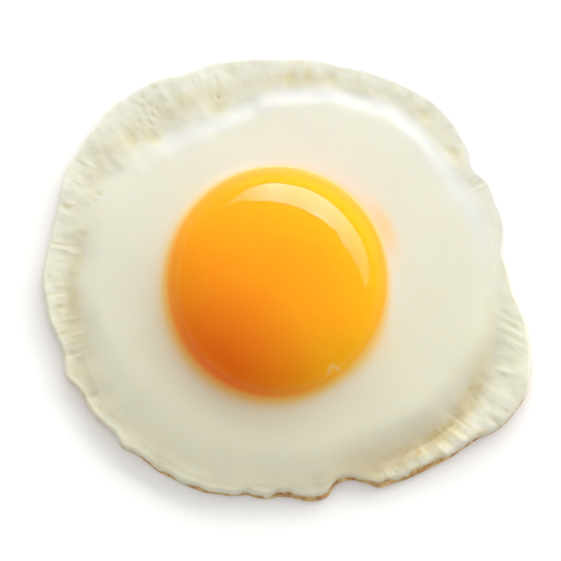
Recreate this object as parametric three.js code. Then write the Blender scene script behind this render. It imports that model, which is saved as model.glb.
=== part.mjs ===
// A fried hen's egg, sunny side up: an irregular disc of set white with a
// thick inner plateau, a shoulder, a shallow valley and a puffed, frilly rim,
// and a domed soft yolk that sits in a bowl-shaped pocket of the white.
// Millimetres, +Z up. The underside is flat at z = 0, where it lay in the pan,
// and the origin is the centre of the bounding box on that plane.
import * as THREE from "three";

// ---- driving dimensions -------------------------------------------------
const YOLK_X = 20.7; // semi-axis of the yolk along X, at its equator
const YOLK_Y = 21.75; // semi-axis along Y
const YOLK_EQUATOR_Z = 4.7; // height of the yolk's widest ring
const YOLK_TOP_Z = 15.5; // top of the dome
const YOLK_BOTTOM_Z = 1.3; // underside of the yolk, above its skin of white
const YOLK_BOTTOM_POWER = 2.6; // how full the yolk's lower half is
const POCKET_GAP = 0.3; // clearance all round between yolk and white
const LIP_SHARE = 0.972; // where the white meets the dome, as a share of the equator
const PLATEAU_Z = 5.6; // set white between the yolk and the shoulder
const MENISCUS_RUN = 1.4; // how fast the white falls away from the dome
const SHOULDER_Z = 4.2; // white at the top of the shoulder
const EDGE_THICKNESS = 0.8; // at the very edge
const FLAT_SHARE = 0.84; // share of the outline's radius that touches the pan
const COLUMNS = 144; // facets round the white
const YOLK_COLUMNS = 72; // facets round the yolk
const YOLK_ROWS_UP = 7;
const YOLK_ROWS_DOWN = 5;

// Outline of the white as [degrees, radius] about the yolk's axis.
const OUTLINE = [
  [1.3, 44.0], [4.2, 43.6], [6.2, 43.2], [7.1, 43.0], [9.1, 43.2], [11.0, 43.5],
  [12.9, 44.05], [14.8, 44.5], [16.8, 44.7], [18.7, 44.6], [20.6, 44.5],
  [22.6, 44.7], [24.5, 44.8], [26.4, 44.7], [28.4, 44.0], [30.3, 43.7],
  [32.2, 44.0], [34.1, 44.7], [37.0, 45.4], [39.9, 45.8], [42.8, 46.3],
  [46.6, 46.6], [49.5, 46.7], [52.4, 46.6], [55.3, 46.3], [59.1, 46.0],
  [63.9, 45.6], [68.7, 45.2], [71.6, 44.8], [74.4, 44.6], [78.3, 44.8],
  [83.1, 44.8], [88.0, 44.5], [92.8, 44.5], [97.7, 44.7], [102.6, 45.05],
  [107.6, 45.35], [110.5, 45.2], [113.5, 45.2], [117.5, 45.9], [120.5, 46.5],
  [124.5, 46.7], [127.5, 46.9], [132.6, 47.1], [134.6, 47.0], [137.6, 46.6],
  [142.7, 46.5], [147.8, 46.0], [150.8, 46.1], [154.9, 45.6], [158.0, 45.1],
  [162.1, 44.5], [166.2, 44.3], [170.4, 44.3], [173.5, 44.5], [176.7, 44.75],
  [179.8, 44.75], [182.9, 44.4], [186.0, 44.0], [189.2, 43.8], [193.3, 43.1],
  [196.5, 42.6], [199.6, 42.8], [201.7, 43.2], [203.8, 43.65], [205.9, 43.0],
  [208.0, 42.5], [210.1, 42.3], [213.2, 42.5], [216.4, 42.4], [219.5, 42.0],
  [222.6, 41.6], [224.7, 42.05], [226.8, 42.3], [228.9, 41.7], [233.1, 41.4],
  [237.2, 41.7], [241.4, 41.4], [246.5, 41.4], [250.7, 41.3], [253.7, 41.0],
  [256.8, 40.8], [259.9, 40.2], [262.0, 39.9], [264.0, 40.2], [267.1, 40.3],
  [270.2, 39.9], [272.2, 39.95], [275.2, 40.4], [278.2, 41.0], [280.7, 41.3],
  [283.3, 40.8], [285.4, 39.5], [287.5, 39.0], [290.5, 39.2], [292.4, 40.0],
  [294.4, 41.2], [296.3, 42.6], [298.3, 43.0], [300.2, 43.1], [303.2, 43.7],
  [306.2, 44.25], [309.1, 44.7], [312.1, 45.3], [315.0, 45.9], [318.0, 46.4],
  [320.9, 47.1], [322.9, 47.8], [324.8, 48.8], [326.8, 49.6], [328.7, 50.1],
  [331.7, 50.7], [334.6, 51.05], [337.6, 50.9], [339.5, 50.6], [341.5, 50.1],
  [344.5, 49.4], [346.5, 48.8], [349.5, 48.05], [351.4, 47.4], [353.4, 46.6],
  [355.4, 45.6], [357.4, 44.8], [359.3, 44.4],
];
// Middle of the shoulder, where the plateau drops to the rim, same axis.
const SHOULDER = [
  [0.8, 40.4], [15.3, 40.7], [25.0, 40.1], [39.4, 39.6], [49.0, 40.2],
  [58.7, 40.2], [68.3, 39.1], [77.9, 38.0], [87.6, 37.1], [94.4, 35.8],
  [102.1, 34.3], [109.0, 33.7], [115.0, 34.1], [122.1, 34.0], [130.2, 34.7],
  [137.4, 35.6], [143.6, 36.3], [150.9, 37.0], [160.3, 37.6], [170.7, 37.7],
  [181.2, 37.85], [191.7, 38.1], [202.2, 38.3], [212.7, 38.2], [223.1, 37.9],
  [233.5, 37.6], [243.8, 37.8], [254.0, 37.5], [263.2, 37.2], [272.3, 37.0],
  [282.4, 36.6], [292.3, 37.0], [302.2, 38.4], [312.1, 39.9], [321.9, 41.1],
  [331.6, 41.4], [341.4, 41.6], [351.1, 41.1],
];
// Heights round the rim: the valley's floor, the frill's crest, and how far
// the outer edge stands off the pan.
const VALLEY_Z = [
  [0, 3.6], [15, 3.6], [30, 3.4], [40, 3.3], [60, 3.3], [75, 3.3], [90, 3.25],
  [105, 3.25], [120, 3.3], [135, 3.35], [150, 3.4], [165, 3.3], [178, 3.1],
  [190, 3], [202, 2.95], [212, 3], [225, 3.1], [240, 3.2], [256, 3.2],
  [266, 3.15], [278, 2.9], [287, 2.8], [295, 2.6], [305, 2.4], [317, 2.05],
  [327, 2.05], [337, 2.5], [346, 3], [353, 3.4],
];
const FRILL_Z = [
  [0, 3.55], [15, 3.55], [30, 3.35], [40, 3.3], [60, 3.3], [75, 3.35],
  [90, 3.35], [105, 3.35], [120, 3.4], [135, 3.4], [150, 3.4], [165, 3.3],
  [178, 3.1], [190, 3], [202, 2.9], [212, 2.9], [225, 3], [240, 3.1],
  [256, 3.1], [266, 3.05], [278, 2.8], [287, 2.6], [295, 2.6], [305, 2.8],
  [317, 3.15], [327, 3.3], [337, 3.4], [346, 3.45], [353, 3.5],
];
const LIFT_Z = [
  [0, 0.45], [30, 0.4], [60, 0.35], [90, 0.35], [120, 0.5], [150, 0.5],
  [178, 0.6], [202, 0.5], [212, 0.35], [240, 0.3], [266, 0.35], [278, 0.5],
  [287, 0.7], [305, 0.8], [317, 1.0], [337, 1.1], [346, 0.9], [353, 0.6],
];

// ---- helpers ------------------------------------------------------------
// A smooth closed curve through [degrees, value] points (cubic Hermite).
function around(table) {
  const n = table.length;
  const at = (i) => {
    const k = ((i % n) + n) % n;
    return [table[k][0] + 360 * Math.floor(i / n), table[k][1]];
  };
  const slope = (i) => {
    const [x0, y0] = at(i - 1);
    const [x1, y1] = at(i + 1);
    return (y1 - y0) / (x1 - x0);
  };
  return (degrees) => {
    let d = ((degrees % 360) + 360) % 360;
    if (d < table[0][0]) d += 360;
    let i = n - 1;
    while (i > 0 && table[i][0] > d) i--;
    const [xa, ya] = at(i);
    const [xb, yb] = at(i + 1);
    const h = xb - xa;
    const t = (d - xa) / h;
    const ma = slope(i) * h;
    const mb = slope(i + 1) * h;
    const t2 = t * t;
    const t3 = t2 * t;
    return (
      (2 * t3 - 3 * t2 + 1) * ya + (t3 - 2 * t2 + t) * ma +
      (-2 * t3 + 3 * t2) * yb + (t3 - t2) * mb
    );
  };
}
const smooth = (x) => {
  const t = Math.min(1, Math.max(0, x));
  return t * t * (3 - 2 * t);
};
const outline = around(OUTLINE);
const shoulder = around(SHOULDER);
const valleyZ = around(VALLEY_Z);
const frillZ = around(FRILL_Z);
const liftZ = around(LIFT_Z);

// The yolk's radius in a direction, at its equator.
function yolkRadius(degrees) {
  const a = THREE.MathUtils.degToRad(degrees);
  return 1 / Math.hypot(Math.cos(a) / YOLK_X, Math.sin(a) / YOLK_Y);
}
const domeZ = (share) =>
  YOLK_EQUATOR_Z +
  (YOLK_TOP_Z - YOLK_EQUATOR_Z) * Math.sqrt(Math.max(0, 1 - share * share));
const bowlZ = (share) =>
  YOLK_EQUATOR_Z -
  (YOLK_EQUATOR_Z - YOLK_BOTTOM_Z) *
    Math.pow(Math.max(0, 1 - Math.pow(share, YOLK_BOTTOM_POWER)), 0.5);

// Rings of points [radius, z] for one direction, from the base's centre out
// along the underside, up the edge, in over the rim, shoulder and plateau to
// the lip, and down the pocket's wall. The two centres are added apart.
function whiteProfile(degrees) {
  const R = outline(degrees);
  const S = shoulder(degrees);
  const C = yolkRadius(degrees) * LIP_SHARE + POCKET_GAP;
  const E = yolkRadius(degrees) + POCKET_GAP;
  const lift = liftZ(degrees);
  const valley = valleyZ(degrees);
  const frill = frillZ(degrees);
  const flat = R * FLAT_SHARE;
  const lipZ = domeZ(LIP_SHARE);
  const rim = R - S;
  const meniscus = (r) =>
    PLATEAU_Z -
    (PLATEAU_Z - SHOULDER_Z) * smooth((r - C) / (S - C)) +
    (lipZ - PLATEAU_Z) * Math.exp(-(r - C) / MENISCUS_RUN);
  const rings = [
    // underside
    [flat * 0.5, 0],
    [flat, 0],
    [R - 1.2, lift * 0.45],
    // outer edge
    [R - 0.25, lift * 0.85],
    [R, lift + EDGE_THICKNESS * 0.45],
    [R - 0.3, lift + EDGE_THICKNESS],
    // rim, crest, valley
    [R - 0.22 * rim, 0.9 * frill],
    [R - 0.5 * rim, Math.max(frill, valley * 0.9)],
    [R - 0.8 * rim, valley],
    // shoulder
    [S - 0.6, valley + 0.55 * (SHOULDER_Z - valley)],
    [S - 2.4, SHOULDER_Z - 0.12],
    // plateau and meniscus
    [C + 0.62 * (S - 2.4 - C), meniscus(C + 0.62 * (S - 2.4 - C))],
    [C + 4.2, meniscus(C + 4.2)],
    [C + 1.7, meniscus(C + 1.7)],
    [C + 0.45, meniscus(C + 0.45)],
    // lip and pocket
    [C, lipZ],
    [E, YOLK_EQUATOR_Z],
    [E * 0.93, bowlZ(0.93) - POCKET_GAP],
    [E * 0.78, bowlZ(0.78) - POCKET_GAP],
    [E * 0.45, bowlZ(0.45) - POCKET_GAP],
  ];
  return rings;
}

// A closed mesh from rings round the yolk's axis, with a centre point below
// the first ring and another at the last.
function closedRings(columns, profile, firstZ, lastZ) {
  const positions = [];
  const index = [];
  const rows = profile(0).length;
  for (let j = 0; j < columns; j++) {
    const degrees = (360 * j) / columns;
    const a = THREE.MathUtils.degToRad(degrees);
    for (const [r, z] of profile(degrees))
      positions.push(r * Math.cos(a), r * Math.sin(a), z);
  }
  const first = columns * rows;
  const last = first + 1;
  positions.push(0, 0, firstZ, 0, 0, lastZ);
  for (let j = 0; j < columns; j++) {
    const a = j * rows;
    const b = ((j + 1) % columns) * rows;
    index.push(first, b, a);
    for (let i = 0; i + 1 < rows; i++) {
      index.push(a + i, b + i, b + i + 1);
      index.push(a + i, b + i + 1, a + i + 1);
    }
    index.push(a + rows - 1, b + rows - 1, last);
  }
  const geometry = new THREE.BufferGeometry();
  geometry.setAttribute("position", new THREE.Float32BufferAttribute(positions, 3));
  geometry.setIndex(index);
  geometry.computeVertexNormals();
  return geometry;
}

// The yolk, from the centre of its underside up over the dome.
function yolkProfile(degrees) {
  const R = yolkRadius(degrees);
  const rings = [];
  for (let i = 1; i <= YOLK_ROWS_DOWN; i++) {
    const share = Math.sin((Math.PI / 2) * (i / (YOLK_ROWS_DOWN + 0)));
    rings.push([R * share, bowlZ(share)]);
  }
  for (let i = 1; i < YOLK_ROWS_UP; i++) {
    const share = Math.cos((Math.PI / 2) * (i / YOLK_ROWS_UP));
    rings.push([R * share, domeZ(share)]);
  }
  return rings;
}

// ---- the two pieces -------------------------------------------------------
const whiteMaterial = new THREE.MeshStandardMaterial({
  color: 0xeeecd9,
  roughness: 0.35,
  metalness: 0,
});
const yolkMaterial = new THREE.MeshStandardMaterial({
  color: 0xfb9a1c,
  roughness: 0.14,
  metalness: 0,
});

const white = new THREE.Mesh(
  closedRings(COLUMNS, whiteProfile, 0, bowlZ(0) - POCKET_GAP),
  whiteMaterial,
);
white.name = "egg_white";

const yolk = new THREE.Mesh(
  closedRings(YOLK_COLUMNS, yolkProfile, YOLK_BOTTOM_Z, YOLK_TOP_Z),
  yolkMaterial,
);
yolk.name = "yolk";

// Both stand about the yolk's axis, which is a little off the box's centre.
const egg = new THREE.Group();
egg.add(white, yolk);
white.geometry.computeBoundingBox();
const box = white.geometry.boundingBox;
egg.position.set(-(box.min.x + box.max.x) / 2, -(box.min.y + box.max.y) / 2, 0);

export default egg;
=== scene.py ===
import math
import bpy
import numpy as np
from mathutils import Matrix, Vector


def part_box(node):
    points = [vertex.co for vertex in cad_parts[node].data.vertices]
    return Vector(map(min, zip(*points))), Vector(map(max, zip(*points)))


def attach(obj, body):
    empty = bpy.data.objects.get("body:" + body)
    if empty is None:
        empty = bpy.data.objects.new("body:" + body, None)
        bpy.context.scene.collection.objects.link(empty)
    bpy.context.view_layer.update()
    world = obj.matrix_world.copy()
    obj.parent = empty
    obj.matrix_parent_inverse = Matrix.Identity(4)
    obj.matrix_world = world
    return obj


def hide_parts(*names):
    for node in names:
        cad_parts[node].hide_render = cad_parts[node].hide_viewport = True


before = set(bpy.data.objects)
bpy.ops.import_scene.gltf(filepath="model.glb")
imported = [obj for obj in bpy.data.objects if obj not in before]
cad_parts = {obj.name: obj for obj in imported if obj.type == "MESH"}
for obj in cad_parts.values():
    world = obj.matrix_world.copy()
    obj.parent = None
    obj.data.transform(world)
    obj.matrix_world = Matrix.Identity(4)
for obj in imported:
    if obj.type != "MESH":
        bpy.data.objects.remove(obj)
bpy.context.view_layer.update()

# A fried egg, sunny side up. Everything below is worked out in millimetres in
# polar coordinates about the yolk's axis and turned into metres in the frame.
MM = 0.001

lo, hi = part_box("yolk")
AXIS = np.array([(lo.x + hi.x) / 2, (lo.y + hi.y) / 2]) / MM
YOLK_AX = (hi.x - lo.x) / 2 / MM      # semi-axes of the yolk's equator
YOLK_AY = (hi.y - lo.y) / 2 / MM
YOLK_TOP = hi.z / MM
YOLK_EQ = 4.7                         # height of the yolk's equator
YOLK_BOTTOM = lo.z / MM

# ---------------------------------------------------------------- tables
OUTLINE = [
    (1.3, 44.0), (4.2, 43.61), (6.2, 43.2), (7.1, 43.0), (9.1, 43.22), (11.0, 43.52), (12.9, 44.05), (14.8, 44.49),
    (16.8, 44.67), (18.7, 44.63), (20.6, 44.54), (22.6, 44.68), (24.5, 44.84), (26.4, 44.67), (28.4, 44.03),
    (30.3, 43.68), (32.2, 44.0), (34.1, 44.71), (37.0, 45.44), (39.9, 45.77), (42.8, 46.29), (46.6, 46.62),
    (49.5, 46.74), (52.4, 46.55), (55.3, 46.27), (59.1, 45.97), (63.9, 45.55), (68.7, 45.21), (71.6, 44.84),
    (74.4, 44.6), (78.3, 44.76), (83.1, 44.76), (88.0, 44.5), (92.8, 44.49), (97.7, 44.73), (102.6, 45.05),
    (107.6, 45.35), (110.5, 45.23), (113.5, 45.24), (117.5, 45.91), (120.5, 46.46), (124.5, 46.67), (127.5, 46.92),
    (132.6, 47.07), (134.6, 46.99), (137.6, 46.62), (142.7, 46.47), (147.8, 46.04), (150.8, 46.09), (154.9, 45.61),
    (158.0, 45.09), (162.1, 44.53), (166.2, 44.27), (170.4, 44.3), (173.5, 44.48), (176.7, 44.75), (179.8, 44.75),
    (182.9, 44.37), (186.0, 44.04), (189.2, 43.83), (193.3, 43.07), (196.5, 42.64), (199.6, 42.77), (201.7, 43.21),
    (203.8, 43.65), (205.9, 42.97), (208.0, 42.48), (210.1, 42.27), (213.2, 42.53), (216.4, 42.42), (219.5, 42.04),
    (222.6, 41.63), (224.7, 42.05), (226.8, 42.33), (228.9, 41.69), (233.1, 41.44), (237.2, 41.67), (241.4, 41.44),
    (246.5, 41.38), (250.7, 41.31), (253.7, 40.99), (256.8, 40.78), (259.9, 40.2), (262.0, 39.88), (264.0, 40.2),
    (267.1, 40.28), (270.2, 39.89), (272.2, 39.95), (275.2, 40.4), (278.2, 41.04), (280.7, 41.3), (283.3, 40.82),
    (285.4, 39.49), (287.5, 39.0), (290.5, 39.19), (292.4, 39.99), (294.4, 41.16), (296.3, 42.62), (298.3, 42.96),
    (300.2, 43.12), (303.2, 43.68), (306.2, 44.25), (309.1, 44.72), (312.1, 45.29), (315.0, 45.86), (318.0, 46.43),
    (320.9, 47.09), (322.9, 47.81), (324.8, 48.82), (326.8, 49.63), (328.7, 50.08), (331.7, 50.66), (334.6, 51.05),
    (337.6, 50.93), (339.5, 50.59), (341.5, 50.11), (344.5, 49.37), (346.5, 48.79), (349.5, 48.05), (351.4, 47.37),
    (353.4, 46.59), (355.4, 45.61), (357.4, 44.83), (359.3, 44.38),
]
SHOULDER = [
    (0.8, 40.42), (15.3, 40.71), (25.0, 40.09), (29.8, 39.76), (39.4, 39.64), (49.0, 40.23), (58.7, 40.18),
    (68.3, 39.1), (77.9, 37.95), (87.6, 37.12), (94.4, 35.76), (102.1, 34.34), (109.0, 33.71), (115.0, 34.08),
    (122.1, 34.01), (130.2, 34.67), (137.4, 35.56), (143.6, 36.29), (150.9, 36.99), (160.3, 37.63), (170.7, 37.72),
    (181.2, 37.85), (191.7, 38.06), (202.2, 38.33), (212.7, 38.86), (223.1, 38.71), (233.5, 38.45), (243.8, 38.61),
    (254.0, 38.08), (263.2, 37.56), (272.3, 37.61), (282.4, 37.52), (292.3, 37.8), (302.2, 38.7), (312.1, 40.1),
    (321.9, 41.3), (331.6, 41.5), (341.4, 41.8), (351.1, 41.32),
]
# degrees: height of the valley, of the frill's crest, of the outer edge off
# the pan, how far in and out the shoulder's drop runs, strength of the radial
# ridges, width of browned edge, and ridge along the shoulder
SECTORS = np.array([
    # deg  valley frill lift  in   out  ridge brown sridge
    (0,    3.75, 3.7,  0.45, 4.0, 2.0, 0.03, 0.00, 0.0),
    (15,   3.8,  3.75,  0.45, 4.0, 2.0, 0.03, 0.04, 0.0),
    (30,   3.65, 3.6,  0.40, 3.6, 1.8, 0.04, 0.03, 0.0),
    (40,   3.5,  3.5,  0.35, 3.2, 1.3, 0.03, 0.00, 0.02),
    (60,   3.6,  3.6,  0.35, 3.2, 0.8, 0.03, 0.00, 0.02),
    (75,   3.6,  3.65, 0.35, 3.2, 0.7, 0.03, 0.00, 0.02),
    (90,   3.55, 3.6,  0.35, 3.2, 0.9, 0.03, 0.00, 0.02),
    (105,  3.5,  3.6,  0.40, 3.2, 1.5, 0.03, 0.00, 0.01),
    (120,  3.45, 3.55, 0.50, 3.4, 2.0, 0.04, 0.00, 0.0),
    (135,  3.35, 3.4,  0.50, 3.4, 2.2, 0.04, 0.00, 0.0),
    (150,  3.4,  3.45, 0.50, 3.8, 2.2, 0.04, 0.00, 0.0),
    (165,  3.3,  3.3,  0.50, 4.2, 2.2, 0.05, 0.04, 0.0),
    (178,  3.15, 3.1,  0.60, 4.7, 2.4, 0.06, 0.06, 0.0),
    (190,  3.05, 3.0,  0.60, 5.2, 2.8, 0.06, 0.12, 0.0),
    (202,  3.0,  2.9,  0.50, 6.2, 3.4, 0.05, 0.14, 0.0),
    (212,  3.0,  2.9,  0.35, 7.5, 4.4, 0.03, 0.18, 0.0),
    (225,  3.05, 3.0,  0.30, 8.5, 5.4, 0.02, 0.30, 0.0),
    (240,  3.1,  3.0,  0.30, 8.5, 5.8, 0.02, 0.48, 0.0),
    (256,  3.1,  3.0,  0.30, 7.8, 5.4, 0.02, 0.55, 0.0),
    (266,  3.05, 2.95, 0.35, 7.2, 5.0, 0.02, 0.62, 0.0),
    (278,  2.85, 2.75, 0.50, 7.0, 4.8, 0.02, 0.95, 0.0),
    (287,  2.8,  2.6,  0.70, 7.0, 4.4, 0.03, 0.60, 0.0),
    (295,  2.6,  2.6,  0.80, 7.5, 4.4, 0.05, 0.75, 0.0),
    (305,  2.4,  2.8,  0.80, 7.5, 3.2, 0.06, 0.75, 0.0),
    (317,  2.05, 3.15, 1.00, 6.5, 2.4, 0.07, 0.55, 0.0),
    (327,  2.05, 3.3,  1.10, 6.0, 2.4, 0.07, 0.35, 0.0),
    (337,  2.5,  3.4,  1.10, 5.0, 2.2, 0.06, 0.14, 0.0),
    (346,  3.0,  3.5,  0.90, 4.5, 2.2, 0.05, 0.02, 0.0),
    (353,  3.4,  3.5,  0.60, 4.2, 2.0, 0.05, 0.05, 0.0),
])
# degrees: how far in the rounding of the outer edge reaches
EDGE = [(0, 0.65), (20, 0.55), (35, 0.85), (48, 1.15), (90, 1.3), (115, 1.2), (140, 0.95), (165, 0.8), (190, 0.8),
        (225, 0.9), (270, 0.9), (300, 0.8), (330, 0.65), (345, 0.65)]
# degrees: how yellow the trough at the shoulder's foot is, partly its own tint and partly painted shade of the valley,
# how far outside the shoulder it lies, its half-width, and how far the whole rim there is browned, partly painted shade
TROUGH = np.array([
    (0,   0.05, 0.0, 2.4, 0.00), (20,  0.05, 0.0, 2.0, 0.00), (33,  0.30, 1.5, 1.3, 0.00),
    (45,  0.55, 2.2, 1.4, 0.00), (58,  0.60, 1.8, 1.4, 0.00), (70,  0.75, 1.6, 1.5, 0.00),
    (82,  0.90, 2.0, 1.7, 0.00), (92,  0.85, 2.4, 1.8, 0.00), (105, 0.70, 3.4, 2.4, 0.00),
    (118, 0.70, 4.6, 2.8, 0.00), (140, 0.45, 4.6, 2.8, 0.00), (155, 0.50, 2.2, 2.2, 0.00),
    (165, 0.70, 1.2, 1.9, 0.00), (175, 0.90, 0.9, 1.8, 0.00), (185, 1.10, 0.8, 1.8, 0.05),
    (195, 0.90, 0.8, 2.0, 0.08), (207, 0.60, 1.2, 2.6, 0.08), (220, 0.40, 0.4, 3.0, 0.00),
    (235, 0.35, -.3, 3.0, 0.00), (250, 0.15, 0.0, 3.0, 0.00), (263, 0.20, -.5, 1.6, 0.10),
    (270, 0.30, -.7, 1.4, 0.20), (280, 0.25, -.5, 1.6, 0.25), (290, 0.50, 0.0, 3.0, 0.60),
    (300, 0.70, 0.3, 3.5, 1.00), (310, 1.00, 0.7, 2.4, 0.95), (320, 1.50, 0.9, 1.8, 0.70),
    (328, 1.20, 0.5, 1.8, 0.50), (337, 0.80, -.2, 2.2, 0.20), (345, 0.50, -.4, 2.4, 0.03),
    (353, 0.20, 0.0, 2.4, 0.00),
])
# degrees: where the white begins to cover the yolk, from its outline, and how
# slowly it becomes opaque
FILM = np.array([
    (0, -0.40, 0.45), (30, -0.30, 0.50), (60, -0.20, 0.45), (90, -0.12, 0.38), (110, -0.20, 0.55),
    (135, -0.40, 0.95), (160, -0.48, 1.10), (180, -0.50, 1.20), (210, -0.45, 1.50), (235, -0.45, 1.50),
    (260, -0.50, 1.40), (285, -0.60, 1.20), (300, -0.75, 1.10), (315, -0.80, 1.35), (330, -0.85, 1.60),
    (345, -0.60, 0.90),
])
# (degrees, radius, half-width across, half-width along the radius, height of
# the bump or depth of the pit, how strongly it is stained)
SPOTS = [
    (36.7, 41.8, 0.95, 0.86, -0.35, 0.8), (49.2, 43.03, 0.95, 0.86, -0.3, 0.7), (82.0, 40.51, 0.67, 1.14, -0.35, 0.8),
    (86.3, 39.61, 0.86, 1.14, -0.45, 1.0), (75.2, 40.85, 0.76, 0.86, -0.25, 0.5), (47.3, 41.08, 0.57, 0.76, 0.2, 0),
    (64.6, 40.61, 0.57, 0.57, 0.18, 0), (29.0, 42.1, 0.38, 1.33, 0.3, 0), (26.6, 42.83, 0.3, 1.14, -0.25, 0.35),
    (25.4, 42.42, 0.25, 0.95, 0.25, 0), (42.5, 44.17, 0.38, 0.76, -0.15, 0.2), (55.0, 43.61, 0.38, 0.76, -0.15, 0.25),
    (68.0, 42.53, 0.27, 0.95, 0.2, 0), (70.4, 42.1, 0.25, 0.38, 0.22, 0), (108.6, 35.56, 1.14, 1.14, -0.45, 0.8),
    (107.8, 38.72, 1.33, 1.33, -0.3, 0.5), (107.7, 37.75, 0.29, 0.38, -0.35, 1.6), (106.7, 40.92, 0.38, 0.76, -0.25, 0.5),
    (102.1, 42.07, 0.57, 0.76, -0.2, 0.5), (113.0, 34.91, 0.76, 0.57, 0.4, 0), (120.8, 42.51, 0.5, 1.14, 0.42, 0),
    (117.9, 40.67, 0.67, 1.33, -0.2, 0.35), (122.2, 44.6, 0.42, 0.42, -0.3, 0.7), (125.9, 44.24, 0.29, 0.34, -0.28, 0.6),
    (127.4, 43.01, 0.27, 0.3, -0.28, 0.7), (125.5, 42.11, 0.29, 0.34, -0.28, 0.5), (128.1, 41.61, 0.27, 0.3, -0.25, 0.4),
    (126.4, 40.32, 0.27, 0.34, -0.28, 0.4), (128.4, 39.27, 0.27, 0.38, -0.28, 0.4), (128.1, 43.95, 0.25, 0.3, -0.25, 0.6),
    (124.6, 40.79, 0.27, 0.48, -0.25, 0.3), (130.5, 40.83, 0.34, 0.38, -0.3, 0.7), (124.9, 43.31, 0.25, 0.27, 0.22, 0),
    (128.7, 42.36, 0.25, 0.29, 0.22, 0), (127.0, 41.07, 0.23, 0.27, 0.2, 0), (127.4, 39.5, 0.23, 0.3, 0.2, 0),
    (130.4, 36.66, 0.95, 1.14, -0.55, 1.0), (135.0, 39.38, 0.76, 1.14, -0.4, 0.8), (142.5, 37.53, 0.57, 0.86, 0.3, 0),
    (139.4, 36.49, 0.95, 0.76, 0.15, 0), (153.4, 37.88, 0.3, 0.34, -0.25, 0.7), (154.7, 38.22, 0.3, 0.38, 0.2, 0),
    (148.4, 44.23, 0.27, 0.95, -0.28, 0.4), (147.5, 42.53, 0.25, 1.14, 0.28, 0), (151.0, 43.16, 0.3, 1.14, -0.2, 0.3),
    (152.8, 42.89, 0.25, 0.76, 0.2, 0), (145.3, 42.81, 0.38, 0.57, -0.2, 0.4), (159.9, 42.81, 0.34, 0.76, -0.25, 1.2),
    (158.6, 41.9, 0.29, 0.57, 0.35, 0), (161.6, 42.56, 0.25, 0.57, 0.2, 0), (155.7, 43.36, 0.38, 0.76, 0.15, 0),
    (169.6, 40.96, 0.23, 1.71, -0.28, 0.5), (170.8, 41.3, 0.23, 1.14, 0.36, 0), (171.4, 39.01, 0.23, 0.76, 0.3, 0),
    (169.2, 42.68, 0.19, 0.76, 0.22, 0), (172.6, 37.65, 0.67, 0.57, -0.25, 0.5), (165.8, 37.85, 0.46, 0.42, -0.28, 0.6),
    (164.8, 38.64, 0.23, 0.57, 0.18, 0), (176.4, 38.69, 0.36, 0.57, 0.35, 0), (174.3, 41.01, 0.38, 1.33, -0.15, 0.2),
    (186.1, 41.29, 0.3, 0.65, -0.35, 1.2), (180.5, 41.41, 0.23, 1.33, 0.22, 0), (182.6, 42.11, 0.23, 1.33, -0.2, 0.4),
    (189.7, 40.09, 0.21, 1.52, 0.28, 0), (191.5, 40.43, 0.21, 1.33, -0.18, 0.3), (193.2, 41.72, 0.29, 0.76, -0.25, 0.9),
    (194.2, 39.27, 0.23, 0.95, 0.28, 0), (196.5, 39.99, 0.19, 1.33, -0.2, 0.3), (198.0, 40.34, 0.19, 1.14, 0.15, 0),
    (200.1, 39.94, 0.23, 1.33, 0.25, 0), (198.9, 41.08, 0.19, 0.95, -0.2, 0.5), (210.0, 42.1, 0.3, 0.3, -0.15, 2.0),
    (211.4, 40.43, 0.3, 0.67, -0.28, 0.8), (215.1, 40.79, 0.57, 0.3, -0.2, 0.6), (226.8, 42.12, 0.46, 0.34, -0.1, 1.6),
    (236.9, 40.38, 0.76, 0.38, -0.2, 0.9), (264.2, 37.96, 0.76, 0.3, -0.12, 0.2), (286.4, 38.38, 0.27, 0.23, -0.2, 0.4),
    (296.8, 39.8, 0.67, 0.95, -0.45, 0.9), (299.7, 41.0, 0.25, 0.95, 0.3, 0), (301.7, 41.61, 0.23, 1.14, -0.2, 0.3),
    (305.1, 42.09, 0.38, 0.95, 0.15, 0), (310.6, 41.52, 0.3, 0.95, 0.28, 0), (308.0, 42.92, 0.27, 0.57, -0.2, 0.4),
    (314.5, 43.68, 0.3, 1.33, 0.45, 0), (316.8, 42.46, 0.23, 1.52, -0.3, 0.4), (319.6, 44.03, 0.29, 1.52, 0.5, 0),
    (318.5, 41.03, 0.38, 0.61, -0.3, 1.0), (321.0, 44.81, 0.19, 1.14, -0.25, 0.6), (323.0, 43.03, 0.21, 1.71, -0.42, 1.0),
    (325.9, 42.0, 0.67, 1.14, 0.18, 0), (312.1, 40.83, 0.57, 0.76, -0.2, 0.4), (320.0, 41.82, 0.23, 0.57, -0.25, 1.0),
    (329.8, 42.5, 0.34, 0.57, -0.25, 1.0), (335.5, 41.93, 0.38, 0.76, -0.2, 0.6), (328.8, 47.66, 0.3, 1.33, 0.3, 0),
    (327.3, 48.53, 0.25, 1.14, -0.25, 0.5), (330.7, 48.83, 0.23, 0.76, -0.2, 1.0), (333.5, 47.44, 0.5, 1.71, 0.22, 0),
    (338.7, 45.57, 0.42, 1.05, 0.5, 0), (341.4, 46.59, 0.38, 1.33, -0.15, 0.1), (345.5, 46.9, 0.23, 1.14, 0.3, 0),
    (346.9, 45.27, 0.27, 1.71, -0.35, 0.5), (348.1, 45.68, 0.21, 1.52, 0.36, 0), (349.4, 45.16, 0.23, 1.52, -0.3, 0.4),
    (350.8, 44.26, 0.23, 1.52, 0.34, 0), (343.8, 46.11, 0.23, 1.33, -0.2, 0.2), (352.4, 43.56, 0.23, 1.14, -0.2, 0.3),
    (353.8, 43.97, 0.27, 1.14, 0.2, 0),
]

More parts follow.
